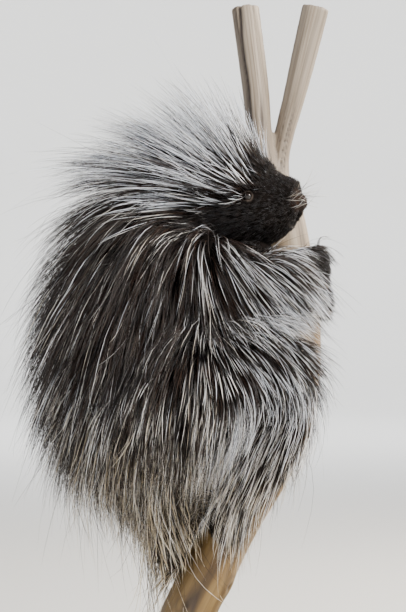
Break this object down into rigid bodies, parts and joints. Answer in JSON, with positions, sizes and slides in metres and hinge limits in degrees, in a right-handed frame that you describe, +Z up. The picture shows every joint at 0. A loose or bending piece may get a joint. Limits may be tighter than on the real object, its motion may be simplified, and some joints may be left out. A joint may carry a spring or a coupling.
{
  "type": "porcupine",
  "caption": "Life-size still porcupine hunched on a bare forked branch, its head turned to its right, with a flat display base under the branch.",
  "frame": {"origin": "centre of the underside of the stand's base", "axes": "+Z up, +X the way the animal's body faces, -Y its right side"},
  "size_m": [0.3755, 0.3428, 0.71],
  "materials": {
    "coat": "long dark brown-black hair with pale tips",
    "crest": "long grey and white guard hair over short dark fur",
    "skin": "dark skin with short fur",
    "eye": "wet, glossy, nearly black",
    "wood": "bare weathered wood, matte",
    "base": "dark stained wood, satin",
    "steel": "brushed"
  },
  "bodies": {
    "root": {"perch": "wood", "stand_base": "base", "stand_rod_back": "steel", "stand_rod_front": "steel", "head": "crest", "neck": "crest", "torso": "coat", "tail": "coat", "ear_right": "skin", "eye_right": "eye", "foreleg_right": "coat", "forefoot_right": "skin", "thigh_right": "coat", "shin_right": "coat", "hindfoot_right": "skin", "ear_left": "skin", "eye_left": "eye", "foreleg_left": "coat", "forefoot_left": "skin", "thigh_left": "coat", "shin_left": "coat", "hindfoot_left": "skin"}
  },
  "joints": []
}
